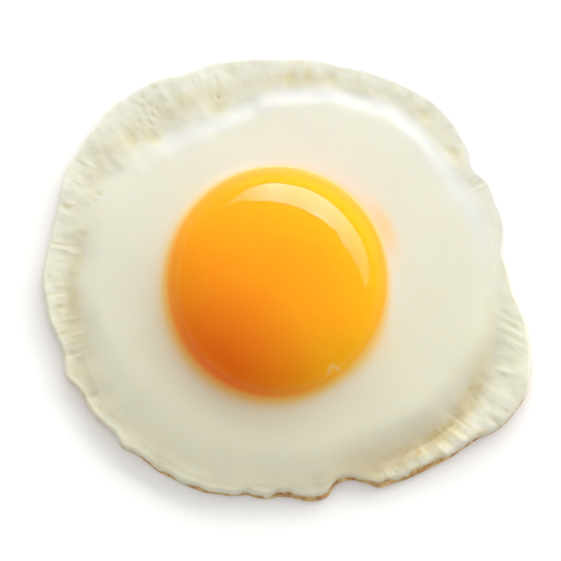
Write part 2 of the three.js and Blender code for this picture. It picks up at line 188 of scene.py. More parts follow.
# ---------------------------------------------------------------- helpers
def around(table):
    t = np.array(table, float)
    x = np.concatenate([t[-3:, 0] - 360, t[:, 0], t[:3, 0] + 360])
    y = np.concatenate([t[-3:, 1], t[:, 1], t[:3, 1]])
    m = np.zeros_like(y)
    m[1:-1] = (y[2:] - y[:-2]) / (x[2:] - x[:-2])

    def f(deg):
        d = np.mod(deg, 360.0)
        i = np.clip(np.searchsorted(x, d, side="right") - 1, 1, len(x) - 3)
        h = x[i + 1] - x[i]
        s = (d - x[i]) / h
        s2, s3 = s * s, s * s * s
        return ((2 * s3 - 3 * s2 + 1) * y[i] + (s3 - 2 * s2 + s) * h * m[i]
                + (-2 * s3 + 3 * s2) * y[i + 1] + (s3 - s2) * h * m[i + 1])
    return f


def smooth(x):
    t = np.clip(x, 0.0, 1.0)
    return t * t * (3 - 2 * t)


def ring_noise(deg, cells, seed):
    """Smooth noise round the circle, -1 to 1, with that many cells."""
    v = np.random.RandomState(seed).uniform(-1, 1, cells)
    u = np.mod(deg, 360.0) / 360.0 * cells
    i = np.floor(u).astype(int)
    f = u - i
    p = [v[(i + k) % cells] for k in (-1, 0, 1, 2)]
    return (p[1] + 0.5 * f * (p[2] - p[0] + f * (2 * p[0] - 5 * p[1] + 4 * p[2] - p[3]
            + f * (3 * (p[1] - p[2]) + p[3] - p[0]))))


def plane_noise(x, y, cell, seed):
    """Smooth noise over the plane, about -1 to 1."""
    n = 64
    g = np.random.RandomState(seed).uniform(-1, 1, (n, n))
    u, v = x / cell + 1000.0, y / cell + 1000.0
    i, j = np.floor(u).astype(int), np.floor(v).astype(int)
    fu, fv = u - i, v - j

    def cub(f, a, b, c, d):
        return b + 0.5 * f * (c - a + f * (2 * a - 5 * b + 4 * c - d + f * (3 * (b - c) + d - a)))
    rows = []
    for k in (-1, 0, 1, 2):
        q = [g[(i + k) % n, (j + l) % n] for l in (-1, 0, 1, 2)]
        rows.append(cub(fv, *q))
    return cub(fu, *rows)


outline_base = around(OUTLINE)
shoulder = around(SHOULDER)
sector = {k: around(SECTORS[:, [0, c]]) for c, k in enumerate(
    ("deg", "valley", "frill", "lift", "inner", "outer", "ridge", "brown", "sridge")) if c}
trough = {k: around(TROUGH[:, [0, c + 1]]) for c, k in enumerate(("amount", "off", "half", "haze"))}
edge_run = around(EDGE)
film_start = around(FILM[:, [0, 1]])
film_run = around(FILM[:, [0, 2]])


def outline(deg):
    """The outline with the small crinkle of a fried edge."""
    rough = 0.04 + 0.25 * np.clip(sector["ridge"](deg), 0, 1) + 0.06 * np.clip(sector["brown"](deg), 0, 1)
    return outline_base(deg) + rough * (0.6 * ring_noise(deg, 150, 3) + 0.4 * ring_noise(deg, 330, 4)) - 0.03


def crisp(deg):
    """Width of the thin browned lace at the foot of the edge, ragged."""
    bw = 1.25 * np.clip(sector["brown"](deg), 0, 3)
    return bw * np.clip(0.9 + 0.6 * ring_noise(deg, 120, 51) + 0.4 * ring_noise(deg, 290, 52), 0, 2)


def yolk_radius(deg):
    a = np.radians(deg)
    return 1.0 / np.hypot(np.cos(a) / YOLK_AX, np.sin(a) / YOLK_AY)


def dome(share):
    """Height of the yolk's upper surface at a share of its equator's radius."""
    return YOLK_EQ + (YOLK_TOP - YOLK_EQ) * np.sqrt(np.clip(1 - share ** 2, 0, 1))


def bowl(share):
    return YOLK_EQ - (YOLK_EQ - YOLK_BOTTOM) * np.sqrt(np.clip(1 - share ** 2.6, 0, 1))


# How far the film of white climbs the yolk: little at the upper right, and
# wide at the lower left.
def film_side(deg):
    return 0.5 - 0.5 * np.cos(np.radians(deg - 52.0))


def lip(deg):
    """Share of the equator's radius at which the white leaves the yolk."""
    return 0.985 - 0.052 * film_side(deg) ** 1.2


def yolk_tint_and_bleed(deg, r):
    """1 where the yolk's own colour shows, 0 where the white covers it, with painted shadow and light from the yolk on
    the white beside it. The same on both pieces, so that the colour runs on across their contact."""
    x = r - yolk_radius(deg) - film_start(deg)
    x = 0.5 * (x + np.hypot(x, 0.15))
    side = film_side(deg)
    shown = np.exp(-x / film_run(deg))
    # painted shade and light: an orange fringe fading outwards, strongest on the far side, for the yolk's soft shadow
    # and the light it sheds
    painted_shadow_bleed = (0.02 + 0.08 * side) * (1 - shown) * np.exp(-x / 5.0)
    # painted reflected light: the patch of orange beside the yolk, at its upper right, thrown off the yolk's lit flank
    da = np.radians((deg - 28 + 180) % 360 - 180) * r
    painted_bounce_patch = 0.34 * np.exp(-0.5 * ((da / 4.0) ** 2 + ((x - 2.2) / 1.0) ** 2))
    return np.clip(shown + painted_shadow_bleed + painted_bounce_patch, 0, 1)


def gilding(deg, g):
    """How golden the white is where the yolk shows through it."""
    return smooth((g - 0.09) / 0.45) * (0.25 + 0.75 * film_side(deg))


KEY_AZ = 61.0                         # direction the main light comes from
HIGH = 5.65                           # the white beside the yolk


# degrees: the yolk's painted light and shade at its rim, 0 deep orange painted shade away from the light to 1 yellow
# painted light towards it; 0.5 at its top
PAINTED_LIGHT_TONE = around([
    (0, 0.84), (30, 0.80), (60, 0.76), (90, 0.70), (135, 0.58), (160, 0.44), (191, 0.25), (210, 0.08), (235, -0.04),
    (255, 0.06), (271, 0.24), (285, 0.42), (300, 0.72), (320, 0.80), (343, 0.82)])


# painted light and shade on the yolk: yellow towards the light, deep orange away from it, darker along its rim on the
# lit side
def painted_light_warmth(deg, share):
    lit = np.clip(np.cos(np.radians(deg - 50)), 0, 1)
    return 0.5 + (PAINTED_LIGHT_TONE(deg) - 0.5) * np.clip(share / 0.88, 0, 1) ** 1.3 - 0.28 * lit * smooth((share - 0.86) / 0.10)


def top_surface(deg, r):
    """Height of the white's upper surface, and its masks, at those points."""
    R, S = outline(deg), shoulder(deg)
    broken = 0.35 + 0.65 * smooth((75 - np.abs((deg - 95 + 180) % 360 - 180)) / 20)
    S0, S = S, S + broken * (0.42 * ring_noise(deg, 54, 5) + 0.22 * ring_noise(deg, 118, 6))
    s = {k: f(deg) for k, f in sector.items()}
    x, y = r * np.cos(np.radians(deg)), r * np.sin(np.radians(deg))
    share = lip(deg)
    Y = yolk_radius(deg)
    C = Y * share
    t = R - r
    # plateau, falling away from the yolk, with a slow undulation
    out = np.clip(r - C, 0, None)
    u = np.clip(out / np.maximum(S - C, 1), 0, 1.4)
    plateau = HIGH - 1.35 * u ** 1.25
    calm = smooth((out - 0.6) / 3.0)
    plateau = plateau + calm * (0.08 * plane_noise(x, y, 11.0, 11) + 0.035 * plane_noise(x, y, 6.0, 12))
    # it meets the yolk's skin at the skin's own slope
    zc = dome(share) + 0.02
    slope = (YOLK_TOP - YOLK_EQ) / Y * share / np.sqrt(1 - share ** 2)
    plateau = plateau + (zc - HIGH) * np.exp(-out * slope / (zc - HIGH))
    plateau = plateau + 0.5 * np.clip(C - r, 0, None)
    # bright ridge that stands along the shoulder in places
    ridge_s = s["sridge"] * np.exp(-((r - (S - s["inner"] - 0.4)) / 1.8) ** 2)
    # drop to the valley
    k = smooth((r - (S - s["inner"])) / (s["inner"] + s["outer"]))
    wob = 0.10 * plane_noise(x, y, 3.4, 21) * np.exp(-((r - S) / 3.0) ** 2)
    valley = s["valley"] + 0.18 * broken * ring_noise(deg, 46, 7) + 0.09 * plane_noise(x, y, 3.6, 13) + 0.04 * plane_noise(x, y, 1.7, 14)
    z = (plateau + ridge_s) * (1 - k) + valley * k + wob
    # frill: rises between the valley and the edge
    rim = np.maximum(R - S, 2.0)
    v = np.clip(t / rim, 0, 1)
    near = 1 - 0.42 * smooth((24 - np.abs(deg % 360 - 326)) / 14)
    bell = np.clip(np.sin(np.pi * np.clip(v ** near, 0, 0.92) / 0.92) ** 0.8, 0, 1)
    crest = np.clip(s["frill"] - s["valley"], -0.5, 4)
    z = z + crest * bell * smooth((r - S + 1.0) / 2.0)
    # soft radial puckers of the frill
    rr = (r - S)
    skew = 0.35 * rr
    band = smooth((r - S + 0.6) / 3.0) * smooth(t / 0.8)
    n1 = ring_noise(deg + skew, 104, 31)
    n2 = ring_noise(deg - 0.5 * skew, 190, 32)
    n3 = ring_noise(deg + 0.2 * skew, 52, 33)
    uneven = np.clip(0.5 + 0.8 * plane_noise(x, y, 4.5, 34), 0, 1)
    ridged = (n1 * 0.5 + n2 * 0.3) * uneven + n3 * 0.8
    lower_right = smooth((45 - np.abs((deg - 320 + 180) % 360 - 180)) / 15)
    puffy = 1.6 * plane_noise(x, y, 2.8, 18) + 0.9 * plane_noise(x, y, 1.4, 19) + 0.45 * plane_noise(x, y, 0.75, 20)
    z = z + np.clip(s["ridge"], 0, 1) * (0.2 * ridged + puffy) * band
    z = z + (0.10 - 0.05 * lower_right) * plane_noise(x, y, 4.6, 23) * band
    # fine unevenness of the thin set rim
    z = z + band * (0.05 * plane_noise(x, y, 2.6, 17) + 0.022 * plane_noise(x, y, 1.2, 15) + 0.008 * plane_noise(x, y, 0.6, 16))
    # pits, bubbles, bumps
    stain = np.zeros_like(z)
    for d0, r0, sa, sr, h, st in SPOTS:
        at = (np.abs(r - r0) < 4.5 * sr + 1) & (np.abs((deg - d0 + 180) % 360 - 180) < 12)
        if not at.any():
            continue
        da = (deg[at] - d0 + 180) % 360 - 180
        a = np.radians(da) * r0
        b = r[at] - r0
        if 342 < d0 < 356:            # these creases run slanting
            a = a + 0.32 * b
        g = np.exp(-0.5 * ((a / sa) ** 2 + (b / sr) ** 2))
        k0 = 0.45 if sa > 0.7 else 0.22 if 342 < d0 < 356 else 0.30 if 144 < d0 < 206 or 296 < d0 < 324 else 0.42
        z[at] += k0 * h * g
        stain[at] = np.maximum(stain[at], st * g)
    # the rounded outer edge
    bw = 1.25 * np.clip(s["brown"], 0, 3)
    lace = 0.85 * bw * (0.9 + 0.3 * ring_noise(deg, 120, 51)) * smooth((bw - 0.25) / 0.45)
    edge_z = s["lift"] + 0.40 + 0.45 * np.clip(t, 0, lace)
    zc = np.maximum(z, s["lift"] + 0.9)
    q = np.clip(1 - np.clip(t - lace, 0, None) / edge_run(deg), 0, 1)
    z = edge_z + (zc - edge_z) * np.sqrt(np.clip(1 - q ** 2.1, 0, 1))
    off = (r - S0 - trough["off"](deg) + 0.5 * plane_noise(x, y, 3.2, 24)) / trough["half"](deg)
    lower = smooth((22 - np.abs(deg % 360 - 317)) / 9)
    fleck = lower * np.clip(np.exp(-((r - S - 0.6) / 1.9) ** 2) + 0.9 * np.exp(-(t / 1.5) ** 2), 0, 1)
    masks = {
        "rim": smooth((r - (S0 - 1.8)) / 3.2),
        "valley": np.clip(stain, 0, 2.5),
        # the trough's yellow tint, partly painted shade of the valley
        "dip": np.clip(trough["amount"](deg), 0, 2) * np.exp(-off ** 2),
        # browned towards the shoulder, partly painted shade falling into the valley
        "haze": np.clip(trough["haze"](deg), 0, 1) * smooth((r - (S - 7.0)) / 7.0)
        * (1 - 0.8 * smooth((deg % 360 - 290) / 10) * smooth((r - S0 - 1.0) / 1.6)),
        "fleck": fleck,
        "pale": 0.55 * lower * smooth((r - S - 1.6) / 1.4),
    }
    return z, masks


def under_surface(deg, r):
    R = outline(deg)
    lift = np.clip(sector["lift"](deg), 0, 3)
    x, y = r * np.cos(np.radians(deg)), r * np.sin(np.radians(deg))
    u = smooth((r / R - 0.82) / 0.18)
    z = lift * u ** 1.4
    rough = 0.10 * np.abs(plane_noise(x, y, 2.2, 41)) + 0.05 * np.abs(plane_noise(x, y, 0.9, 42))
    return z + rough * smooth((r / R - 0.05) / 0.1)


# ---------------------------------------------------------------- meshes
def loop_strip(a, b, n):
    j = np.arange(n)
    k = (j + 1) % n
    return np.stack([a + j, a + k, b + k, b + j], 1)


def mesh_from(name, co, faces, attributes):
    mesh = bpy.data.meshes.new(name)
    mesh.from_pydata((co * MM).tolist(), [], faces)
    for key, values in attributes.items():
        at = mesh.attributes.new(key, "FLOAT", "POINT")
        at.data.foreach_set("value", np.asarray(values, np.float32))
    mesh.polygons.foreach_set("use_smooth", np.ones(len(mesh.polygons), bool))
    mesh.update()
    mesh.validate()
    obj = bpy.data.objects.new(name, mesh)
    bpy.context.scene.collection.objects.link(obj)
    return obj


def build_white():
    n_fine, n_mid = 1200, 600
    rings = []          # (n, deg, r, z, masks)

    def ring(n, radius, zed=None, **extra):
        deg = np.arange(n) * 360.0 / n
        r = radius(deg) if callable(radius) else np.full(n, float(radius))
        rings.append([n, deg, r, zed, extra])

    # from the base's centre: underside, out to the edge
    under_shares_mid = np.linspace(0.06, 0.80, 17)
    under_shares_fine = np.linspace(0.83, 0.985, 9)
    for f in under_shares_mid:
        ring(n_mid, lambda d, f=f: outline(d) * f, "under")
    for f in under_shares_fine:
        ring(n_fine, lambda d, f=f: outline(d) * f, "under")
    # the edge and the top, inwards
    ts = [0.0, 0.04, 0.12, 0.24, 0.40, 0.58, 0.78]
    for t in ts:
        ring(n_fine, lambda d, t=t: outline(d) - t, "top")
    n_rim = 34
    for i in range(1, n_rim + 1):
        f = i / n_rim
        ring(n_fine, lambda d, f=f: (outline(d) - 0.78) * (1 - f) + (shoulder(d) - 2.8) * f, "top")
    n_pl = 34
    for i in range(1, n_pl + 1):
        f = (i / n_pl)
        g = 1 - (1 - f) ** 1.35
        ring(n_mid, lambda d, g=g: (shoulder(d) - 2.8) * (1 - g) + yolk_radius(d) * lip(d) * g, "top")
    # The film runs on a little way under the yolk's skin, and folds there.
    for into in (0.12, 0.30):
        ring(n_mid, lambda d, into=into: yolk_radius(d) * lip(d) - into, "top")
    for f in (0.3, 0.65):
        ring(n_mid, lambda d, f=f: yolk_radius(d) * (lip(d) * (1 - f) + f) - 0.35,
             lambda d, f=f: dome(lip(d) * (1 - f) + f))
    ring(n_mid, lambda d: yolk_radius(d) - 0.32, YOLK_EQ)
    for sh in (0.985, 0.95, 0.9, 0.8, 0.65, 0.45, 0.25, 0.08):
        ring(n_mid, lambda d, sh=sh: yolk_radius(d) * sh, bowl(sh) - 0.08)

    co, offsets = [], []
    names = ("lit", "gild", "seat", "cream", "fleck", "pale", "rim", "valley", "dip", "haze", "under", "brown", "glow", "blush", "warm", "thick")
    attr = {k: [] for k in names}
    total = 0
    for n, deg, r, kind, extra in rings:
        blank = {k: np.zeros(n) for k in ("rim", "valley", "dip", "haze", "fleck", "pale")}
        if kind == "under":
            z = under_surface(deg, r)
            m = dict(blank, rim=np.ones(n))
            un = np.ones(n)
        elif kind == "top":
            z, m = top_surface(deg, r)
            z = np.maximum(z, under_surface(deg, r) + 0.3)
            un = np.zeros(n)
        else:
            z = kind(deg) if callable(kind) else np.full(n, float(kind))
            m = blank
            un = np.zeros(n)
        t = outline(deg) - r
        bw = 1.25 * np.clip(sector["brown"](deg), 0, 3)
        ragged = crisp(deg) + 0.35 * bw * plane_noise(r * np.cos(np.radians(deg)), r * np.sin(np.radians(deg)), 1.0, 53)
        if kind == "top":
            brown = smooth((ragged - t) / 0.3 + 0.5) * smooth(bw / 0.12)
            # and only its foot, not the whole height of the edge
            brown = brown * (1 - 0.75 * smooth((z - sector["lift"](deg) - 1.1) / 0.8))
        elif kind == "under":
            brown = smooth(1 - (t - 2.0) / 5.0)
        else:
            brown = np.zeros(n)
        Y = yolk_radius(deg)
        # the yolk shows through the thin white round it, with painted shadow and light from the yolk beside it
        if kind == "top":
            glow = yolk_tint_and_bleed(deg, r)
        elif kind == "under":
            glow = np.zeros(n)
        else:
            glow = np.ones(n)
        # painted light: a faint pink glow where light comes back out beside the yolk
        blush = np.exp(-0.5 * (((deg - 62 + 180) % 360 - 180) / 24.0) ** 2) * np.exp(-np.clip(r - Y, 0, None) / 3.2)
        a = np.radians(deg)
        co.append(np.stack([AXIS[0] + r * np.cos(a), AXIS[1] + r * np.sin(a), z], 1))
        for k in blank:
            attr[k].append(m[k])
        attr["under"].append(un)
        attr["brown"].append(brown)
        attr["glow"].append(glow)
        attr["blush"].append(blush)
        attr["gild"].append(gilding(deg, glow))
        # painted light: a cooler, less yellow white on the shoulder's slopes and the edge that face the key light
        facing = smooth((np.cos(np.radians(deg - 72)) - 0.25) / 0.5)
        attr["lit"].append(facing * np.clip(np.exp(-((r - shoulder(deg) + 1.3) / 2.0) ** 2) + smooth((1.7 - t) / 0.9), 0, 1))
        attr["seat"].append(np.clip(np.cos(np.radians(deg - 55)), 0, 1) ** 0.7 * np.exp(-((r - Y - 0.1) / 0.75) ** 2))
        # painted shade: yellower towards the bottom, the side away from the light
        attr["cream"].append((0.5 - 0.5 * np.sin(np.radians(deg))) * smooth((r - Y) / 6.0))
        # the yolk's colour under the film, with its painted light and shade
        attr["warm"].append(np.clip(painted_light_warmth(deg, np.clip(r / Y, 0, 1)) + 0.55 * (1 - glow), 0, 1))
        attr["thick"].append(smooth((r - Y + 0.3) / 3.2) * smooth((outline(deg) - r) / 2.5) * (1 - un))
        offsets.append(total)
        total += n
    faces = []
    for i in range(len(rings) - 1):
        na, nb = rings[i][0], rings[i + 1][0]
        a, b = offsets[i], offsets[i + 1]
        if na == nb:
            faces.append(loop_strip(a, b, na)[:, ::-1].tolist())
        elif nb == 2 * na:
            j = np.arange(na)
            k = (j + 1) % na
            faces.append(np.stack([a + j, b + 2 * j, b + 2 * j + 1], 1).tolist())
            faces.append(np.stack([a + j, b + 2 * j + 1, a + k], 1).tolist())
            faces.append(np.stack([a + k, b + 2 * j + 1, b + (2 * j + 2) % nb], 1).tolist())
        else:
            j = np.arange(nb)
            k = (j + 1) % nb
            faces.append(np.stack([b + j, a + 2 * j + 1, a + 2 * j], 1).tolist())
            faces.append(np.stack([b + j, b + k, a + 2 * j + 1], 1).tolist())
            faces.append(np.stack([b + k, a + (2 * j + 2) % na, a + 2 * j + 1], 1).tolist())
    co.append(np.array([[AXIS[0], AXIS[1], 0.05], [AXIS[0], AXIS[1], YOLK_BOTTOM - 0.08]]))
    ends = {"rim": (1, 0), "under": (1, 0), "glow": (0, 1), "warm": (0.5, 0.5)}
    for k in names:
        attr[k].append(np.array(ends.get(k, (0, 0)), float))
    first, last = total, total + 1
    n0, nl = rings[0][0], rings[-1][0]
    j = np.arange(n0)
    faces.append(np.stack([np.full(n0, first), (j + 1) % n0, j], 1).tolist())
    j = np.arange(nl)
    faces.append(np.stack([np.full(nl, last), offsets[-1] + j, offsets[-1] + (j + 1) % nl], 1).tolist())
    flat = [tuple(f) for group in faces for f in group]
    return mesh_from("egg_white_skin", np.concatenate(co), flat, {k: np.concatenate(v) for k, v in attr.items()})


def build_yolk():
    n = 480
    shares_up = np.sin(np.linspace(0, math.pi / 2, 84))[1:-1][::-1]
    shares_down = np.sin(np.linspace(0, math.pi / 2, 14))[1:-1]
    co, film, warm, deep, gild, faces = [], [], [], [], [], []
    deg = np.arange(n) * 360.0 / n
    a = np.radians(deg)
    R = yolk_radius(deg)
    rings = [("down", s) for s in shares_down] + [("eq", 1.0)] + [("up", s) for s in shares_up]
    for kind, sh in rings:
        r = R * sh
        x, y = r * np.cos(a), r * np.sin(a)
        if kind == "down":
            z = np.full(n, float(bowl(sh)))
        else:
            z = np.full(n, float(dome(sh)))
            fade = smooth((0.91 - sh) / 0.08)
            z = z + fade * (0.026 * plane_noise(x, y, 5.5, 61) + 0.012 * plane_noise(x, y, 2.4, 62))
        co.append(np.stack([AXIS[0] + x, AXIS[1] + y, z], 1))
        film.append(1 - yolk_tint_and_bleed(deg, r) if kind == "up" else np.ones(n))
        # painted light and shade on the yolk, by side and by share of its radius
        warm.append(np.clip(painted_light_warmth(deg, sh) + 0.55 * film[-1], 0, 1))
        gild.append(gilding(deg, 1 - film[-1]))
        deep.append(smooth((R * lip(deg) - r) / 3.0) if kind == "up" else np.zeros(n))
    total = n * len(rings)
    for i in range(len(rings) - 1):
        faces += [tuple(f) for f in loop_strip(i * n, (i + 1) * n, n).tolist()]
    co.append(np.array([[AXIS[0], AXIS[1], YOLK_BOTTOM], [AXIS[0], AXIS[1], YOLK_TOP]]))
    film.append(np.array([1.0, 0.0]))
    warm.append(np.array([0.5, 0.5]))
    deep.append(np.array([0.0, 1.0]))
    gild.append(np.array([0.0, 0.0]))
    faces += [(total, (j + 1) % n, j) for j in range(n)]
    o = (len(rings) - 1) * n
    faces += [(total + 1, o + j, o + (j + 1) % n) for j in range(n)]
    return mesh_from("yolk_dome", np.concatenate(co), faces,
                     {"film": np.concatenate(film), "warm": np.concatenate(warm), "deep": np.concatenate(deep),
                      "gild": np.concatenate(gild)})


# ---------------------------------------------------------------- materials
class Nodes:
    def __init__(self, name):
        self.mat = bpy.data.materials.new(name)
        self.mat.use_nodes = True
        self.t = self.mat.node_tree
        self.t.nodes.clear()
        self.out = self.t.nodes.new("ShaderNodeOutputMaterial")

    def new(self, kind, **values):
        node = self.t.nodes.new(kind)
        for k, v in values.items():
            setattr(node, k, v)
        return node

    def link(self, a, b):
        self.t.links.new(a, b)

    def attribute(self, name):
        return self.new("ShaderNodeAttribute", attribute_name=name).outputs["Fac"]

    def value(self, op, a, b=None, clamp=False):
        node = self.new("ShaderNodeMath", operation=op, use_clamp=clamp)
        for i, v in enumerate((a, b)):
            if v is None:
                continue
            if isinstance(v, (int, float)):
                node.inputs[i].default_value = v
            else:
                self.link(v, node.inputs[i])
        return node.outputs[0]

    def noise(self, vector, scale, detail=3.0, rough=0.55, distortion=0.0):
        node = self.new("ShaderNodeTexNoise")
        node.inputs["Scale"].default_value = scale
        node.inputs["Detail"].default_value = detail
        node.inputs["Roughness"].default_value = rough
        node.inputs["Distortion"].default_value = distortion
        self.link(vector, node.inputs["Vector"])
        return node.outputs["Fac"]

    def remap(self, v, a, b, c=0.0, d=1.0):
        node = self.new("ShaderNodeMapRange")
        self.link(v, node.inputs["Value"])
        for k, x in zip(("From Min", "From Max", "To Min", "To Max"), (a, b, c, d)):
            node.inputs[k].default_value = x
        return node.outputs["Result"]

    def mix(self, fac, a, b):
        node = self.new("ShaderNodeMix", data_type="RGBA")
        if isinstance(fac, (int, float)):
            node.inputs[0].default_value = fac
        else:
            self.link(fac, node.inputs[0])
        for i, v in ((6, a), (7, b)):
            if isinstance(v, tuple):
                node.inputs[i].default_value = (*v, 1.0)
            else:
                self.link(v, node.inputs[i])
        return node.outputs[2]


WHITE = (0.705, 0.697, 0.600)
GILT = (0.64, 0.56, 0.21)


def yolk_colour(m, warm, tc):
    """The yolk's colour with painted light and shade: deep orange on the far side as painted shade, yellower towards
    the light as painted light.
    """
    a = m.mix(m.remap(warm, 0.0, 0.5), (0.85, 0.155, 0.002), (0.94, 0.36, 0.005))
    col = m.mix(m.remap(warm, 0.5, 1.0), a, (0.985, 0.50, 0.008))
    return m.mix(m.remap(m.noise(tc, 90.0, 3.0, 0.5), 0.3, 0.7, 0.0, 0.12), col, (0.95, 0.27, 0.004))


def white_material():
    m = Nodes("cooked_egg_white")
    tc = m.new("ShaderNodeTexCoord").outputs["Object"]
    rim, valley, dip, haze = m.attribute("rim"), m.attribute("valley"), m.attribute("dip"), m.attribute("haze")
    lit = m.attribute("lit")
    under, brown, glow, blush = m.attribute("under"), m.attribute("brown"), m.attribute("glow"), m.attribute("blush")
    big = m.noise(tc, 70.0, 3.0, 0.5)
    mid = m.noise(tc, 260.0, 4.0, 0.6)
    fine = m.noise(tc, 1100.0, 3.0, 0.6)
    col = m.mix(m.remap(big, 0.35, 0.7), WHITE, (0.708, 0.716, 0.622))
    rimc = m.mix(m.remap(mid, 0.35, 0.68), (0.698, 0.695, 0.600), (0.722, 0.738, 0.655))
    col = m.mix(rim, col, rimc)
    # painted shade: yellower towards the bottom
    col = m.mix(m.value("MULTIPLY", m.attribute("cream"), 0.6, True), col, (0.700, 0.690, 0.515))
    # browned, partly painted shade towards the valley at the lower right
    col = m.mix(m.value("MULTIPLY", haze, 0.75, True), col, (0.61, 0.53, 0.40))
    col = m.mix(m.value("MULTIPLY", m.attribute("pale"), 0.9, True), col, (0.690, 0.695, 0.610))
    patchy = m.remap(m.noise(tc, 150.0, 3.0, 0.55), 0.35, 0.65, 0.3, 0.62)
    # the trough's yellow tint, partly painted shade of the valley
    col = m.mix(m.value("MULTIPLY", dip, patchy, True), col, (0.585, 0.505, 0.275))
    # painted light on the slopes facing the key light
    col = m.mix(m.value("MULTIPLY", lit, 0.85, True), col, (0.655, 0.662, 0.655))
    pit = m.value("MULTIPLY", valley, m.remap(mid, 0.3, 0.7, 0.75, 1.1), True)
    col = m.mix(m.value("MULTIPLY", pit, 0.50, True), col, (0.62, 0.55, 0.27))
    speck = m.remap(valley, 1.0, 1.8)
    col = m.mix(m.value("MULTIPLY", speck, 0.8, True), col, (0.36, 0.17, 0.05))
    gold = m.remap(m.noise(tc, 520.0, 4.0, 0.6), 0.48, 0.68)
    col = m.mix(m.value("MULTIPLY", m.attribute("fleck"), m.value("MULTIPLY", gold, 0.7), True), col, (0.57, 0.42, 0.16))
    # painted light: pink glow beside the yolk
    col = m.mix(m.value("MULTIPLY", blush, 0.5, True), col, (0.80, 0.62, 0.54))
    col = m.mix(m.value("MULTIPLY", m.attribute("seat"), 0.65, True), col, (0.62, 0.44, 0.28))
    col = m.mix(m.attribute("gild"), col, GILT)
    col = m.mix(glow, col, yolk_colour(m, m.attribute("warm"), tc))
    toast = m.mix(m.remap(m.noise(tc, 520.0, 4.0, 0.65), 0.38, 0.64), (0.72, 0.51, 0.20), (0.36, 0.145, 0.04))
    col = m.mix(m.value("MULTIPLY", brown, m.remap(fine, 0.25, 0.55, 0.6, 1.0), True), col, toast)
    lace = m.remap(m.noise(tc, 150.0, 5.0, 0.65, 1.2), 0.42, 0.64)
    pan = m.mix(lace, (0.74, 0.66, 0.46), (0.50, 0.27, 0.09))
    pan = m.mix(m.value("MULTIPLY", brown, 0.7, True), pan, toast)
    col = m.mix(under, col, pan)

    b = m.new("ShaderNodeBsdfPrincipled")
    m.link(col, b.inputs["Base Color"])
    b.subsurface_method = "RANDOM_WALK"
    m.link(m.remap(m.attribute("thick"), 0.0, 1.0, 0.1, 0.9), b.inputs["Subsurface Weight"])
    b.inputs["Subsurface Radius"].default_value = (1.0, 0.8, 0.5)
    b.inputs["Subsurface Scale"].default_value = 0.0016
    b.inputs["IOR"].default_value = 1.4
    b.inputs["Specular IOR Level"].default_value = 0.3
    b.inputs["Coat Weight"].default_value = 0.08
    b.inputs["Coat Roughness"].default_value = 0.18
    b.inputs["Coat IOR"].default_value = 1.36
    rough = m.value("ADD", m.remap(mid, 0.3, 0.7, 0.36, 0.46), m.value("MULTIPLY", under, 0.2))
    m.link(rough, b.inputs["Roughness"])
    bump = m.new("ShaderNodeBump")
    bump.inputs["Distance"].default_value = 0.0001
    bump.inputs["Strength"].default_value = 0.4
    h = m.value("MULTIPLY", m.value("ADD", mid, m.value("MULTIPLY", fine, 0.35)), m.remap(rim, 0.0, 1.0, 0.10, 1.0))
    m.link(h, bump.inputs["Height"])
    m.link(bump.outputs[0], b.inputs["Normal"])
    m.link(b.outputs[0], m.out.inputs["Surface"])
    return m.mat


def stroke(m, tc, deg, r, length, width, turn):
    """A soft short mark on the yolk's skin, 1 at its middle."""
    a = math.radians(deg)
    g = m.new("ShaderNodeMapping", vector_type="TEXTURE")
    g.inputs["Location"].default_value = ((AXIS[0] + r * math.cos(a)) * MM, (AXIS[1] + r * math.sin(a)) * MM, 0)
    g.inputs["Rotation"].default_value = (0, 0, math.radians(turn))
    g.inputs["Scale"].default_value = (length * MM, width * MM, 1.0)
    m.link(tc, g.inputs["Vector"])
    ball = m.new("ShaderNodeTexGradient", gradient_type="SPHERICAL")
    m.link(g.outputs[0], ball.inputs["Vector"])
    return m.remap(ball.outputs["Fac"], 0.0, 0.9)


def yolk_material():
    m = Nodes("soft_yolk")
    tc = m.new("ShaderNodeTexCoord").outputs["Object"]
    film = m.attribute("film")
    mid = m.noise(tc, 420.0, 3.0, 0.6)
    col = m.mix(film, yolk_colour(m, m.attribute("warm"), tc), m.mix(m.attribute("gild"), WHITE, GILT))
    marks = m.value("ADD", stroke(m, tc, -56.4, 19.5, 1.5, 0.52, -33), stroke(m, tc, -60.0, 19.1, 1.3, 0.50, 68))
    col = m.mix(m.value("MULTIPLY", marks, 0.3, True), col, (0.88, 0.76, 0.50))
    faint = m.value("ADD", stroke(m, tc, 256.0, 18.6, 1.3, 0.16, -32), stroke(m, tc, 182.0, 12.9, 0.3, 0.22, 0))
    col = m.mix(m.value("MULTIPLY", faint, 0.2, True), col, (0.97, 0.62, 0.20))
    b = m.new("ShaderNodeBsdfPrincipled")
    m.link(col, b.inputs["Base Color"])
    b.subsurface_method = "RANDOM_WALK"
    m.link(m.remap(m.attribute("deep"), 0.0, 1.0, 0.1, 0.85), b.inputs["Subsurface Weight"])
    b.inputs["Subsurface Radius"].default_value = (1.0, 0.28, 0.06)
    b.inputs["Subsurface Scale"].default_value = 0.006
    b.inputs["IOR"].default_value = 1.4
    b.inputs["Specular IOR Level"].default_value = 0.18
    rough = m.value("ADD", m.remap(mid, 0.3, 0.7, 0.012, 0.02), m.value("MULTIPLY", film, 0.3))
    m.link(rough, b.inputs["Roughness"])
    m.link(b.outputs[0], m.out.inputs["Surface"])
    return m.mat


# ---------------------------------------------------------------- pieces
white = build_white()
white.data.materials.append(white_material())
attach(white, "root")
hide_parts("egg_white")

yolk = build_yolk()
yolk.data.materials.append(yolk_material())
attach(yolk, "root")
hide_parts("yolk")

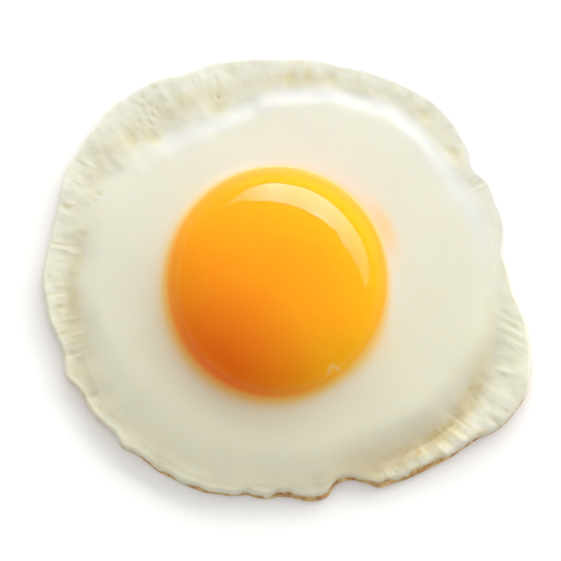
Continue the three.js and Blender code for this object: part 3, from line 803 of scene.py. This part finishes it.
# ---------------------------------------------------------------- stage
def simple_material(name, colour, rough=0.6, glow=0.0):
    m = Nodes(name)
    b = m.new("ShaderNodeBsdfPrincipled")
    b.inputs["Base Color"].default_value = (*colour, 1)
    b.inputs["Roughness"].default_value = rough
    b.inputs["Specular IOR Level"].default_value = 0.0
    b.inputs["Emission Color"].default_value = (1, 1, 1, 1)
    b.inputs["Emission Strength"].default_value = glow
    m.link(b.outputs[0], m.out.inputs["Surface"])
    return m.mat


floor = mesh_from("floor", np.array([[-3000, -3000, -0.1], [3000, -3000, -0.1], [3000, 3000, -0.1], [-3000, 3000, -0.1]]), [(0, 1, 2, 3)], {})
floor.data.materials.append(simple_material("pale_floor", (0.95, 0.95, 0.95), glow=0.01))

KEY_D, KEY_W, KEY_L = 1100.0, 2200.0, 5.5
ka = math.radians(KEY_AZ)
kd = np.array([math.cos(ka), math.sin(ka)])
kw = np.array([-kd[1], kd[0]])
cols = 240
us = np.linspace(-0.86, 1.0, cols + 1)
upper = np.interp(us, *np.array([
    (-0.86, 935), (-0.75, 905), (-0.60, 885), (-0.50, 955), (-0.42, 975), (-0.366, 900), (-0.33, 890), (-0.30, 965),
    (-0.25, 970), (-0.215, 900), (-0.18, 835), (-0.16, 825), (-0.12, 868), (-0.10, 872), (-0.06, 835), (-0.03, 838),
    (0.0, 880), (0.04, 900),
    (0.09, 908), (0.13, 890), (0.17, 870), (0.22, 872), (0.255, 918), (0.287, 900), (0.323, 860), (0.36, 868),
    (0.447, 890), (0.50, 870), (0.55, 855), (0.61, 812), (0.69, 765), (0.83, 775), (1.0, 785)]).T)
lower = np.interp(us, *np.array([
    (-0.86, 930), (-0.80, 760), (-0.65, 500), (-0.55, 350), (-0.42, 300), (-0.30, 285), (-0.20, 290), (-0.15, 285),
    (-0.10, 262), (-0.02, 235), (0.05, 225), (0.10, 205), (0.16, 212), (0.22, 225), (0.287, 232), (0.36, 225),
    (0.47, 235), (0.60, 330), (0.68, 430), (0.83, 630), (1.0, 780)]).T)
pts = []
for u, lz, tz in zip(us, lower, upper):
    base = AXIS + kd * KEY_D + kw * KEY_W * u
    tz = max(tz, lz + 3)
    for f in (0.0, 0.90, 0.92, 1.0):
        pts.append((base[0], base[1], lz + (tz - lz) * f))
key = mesh_from("key_light", np.array(pts), [(4 * i + j, 4 * i + j + 1, 4 * i + j + 5, 4 * i + j + 4)
                                             for i in range(cols) for j in range(3)], {})
km = Nodes("key_glow")
e = km.new("ShaderNodeEmission")
e.inputs["Strength"].default_value = KEY_L
glossy = km.new("ShaderNodeLightPath").outputs["Is Glossy Ray"]
km.link(km.mix(glossy, (1.0, 0.985, 0.96), (0.76, 0.76, 1.0)), e.inputs["Color"])
boost = km.value("MULTIPLY", glossy, km.value("MULTIPLY", km.attribute("gleam"), 20.0))
km.link(km.value("ADD", boost, KEY_L), e.inputs["Strength"])
km.link(e.outputs[0], km.out.inputs["Surface"])
key.data.materials.append(km.mat)
key.visible_camera = False
gleam = np.interp(us, *np.array([
    (-0.86, 0.1), (-0.55, 0.05), (-0.40, 0.15), (-0.27, 0.35), (-0.20, 0.5), (-0.10, 0.75), (0.0, 1.0), (0.06, 0.82),
    (0.12, 0.76), (0.22, 0.74), (0.255, 0.75), (0.268, 1.15), (0.30, 1.30), (0.312, 0.80), (0.335, 1.0), (0.348, 0.66),
    (0.37, 0.85), (0.385, 0.48), (0.41, 0.62), (0.43, 0.34), (0.46, 0.45), (0.50, 0.22), (0.55, 0.32), (0.61, 0.12), (0.8, 0.0), (1.0, 0.0)]).T)
at = key.data.attributes.new("gleam", "FLOAT", "POINT")
strip = 1 + 0.9 * np.exp(-((us + 0.02) / 0.09) ** 2) + 0.5 * np.exp(-((us + 0.33) / 0.08) ** 2)
rows = np.stack([gleam, gleam, gleam * strip, gleam * strip], 1)
at.data.foreach_set("value", rows.ravel().astype(np.float32))

world = bpy.data.worlds.new("soft_room")
bpy.context.scene.world = world
world.use_nodes = True
w = world.node_tree
w.nodes.clear()
wo = w.nodes.new("ShaderNodeOutputWorld")
bg = w.nodes.new("ShaderNodeBackground")
geo = w.nodes.new("ShaderNodeTexCoord")
dot = w.nodes.new("ShaderNodeVectorMath")
dot.operation = "DOT_PRODUCT"
dot.inputs[1].default_value = Vector((-0.15, 0.47, 0.87)).normalized()
w.links.new(geo.outputs["Generated"], dot.inputs[0])
ramp = w.nodes.new("ShaderNodeMapRange")
w.links.new(dot.outputs["Value"], ramp.inputs["Value"])
ramp.inputs["From Min"].default_value = -0.35
ramp.inputs["From Max"].default_value = 0.9
ramp.inputs["To Min"].default_value = 0.30
ramp.inputs["To Max"].default_value = 0.95
lp = w.nodes.new("ShaderNodeLightPath")
bg2 = w.nodes.new("ShaderNodeBackground")
bg2.inputs["Color"].default_value = (1, 1, 1, 1)
bg2.inputs["Strength"].default_value = 0.9
bg.inputs["Color"].default_value = (1.0, 0.99, 0.975, 1)
w.links.new(ramp.outputs["Result"], bg.inputs["Strength"])
mixs = w.nodes.new("ShaderNodeMixShader")
w.links.new(lp.outputs["Is Camera Ray"], mixs.inputs[0])
w.links.new(bg.outputs[0], mixs.inputs[1])
w.links.new(bg2.outputs[0], mixs.inputs[2])
w.links.new(mixs.outputs[0], wo.inputs["Surface"])

# ---------------------------------------------------------------- camera
cam_data = bpy.data.cameras.new("camera")
cam = bpy.data.objects.new("camera", cam_data)
bpy.context.scene.collection.objects.link(cam)
cam_data.lens = 100.0
cam_data.sensor_width = 36.0
cam_data.clip_start = 0.01
cam_data.clip_end = 20.0
target = Vector((-0.9036, -0.9112, 0.0)) * MM
el = math.radians(83.0)
dist = 296.9 * MM
cam.location = target + Vector((0, -math.cos(el), math.sin(el))) * dist
cam.rotation_euler = (target - cam.location).to_track_quat("-Z", "Y").to_euler()
bpy.context.scene.camera = cam
bpy.context.scene.view_settings.view_transform = "Standard"
bpy.context.scene.view_settings.look = "None"
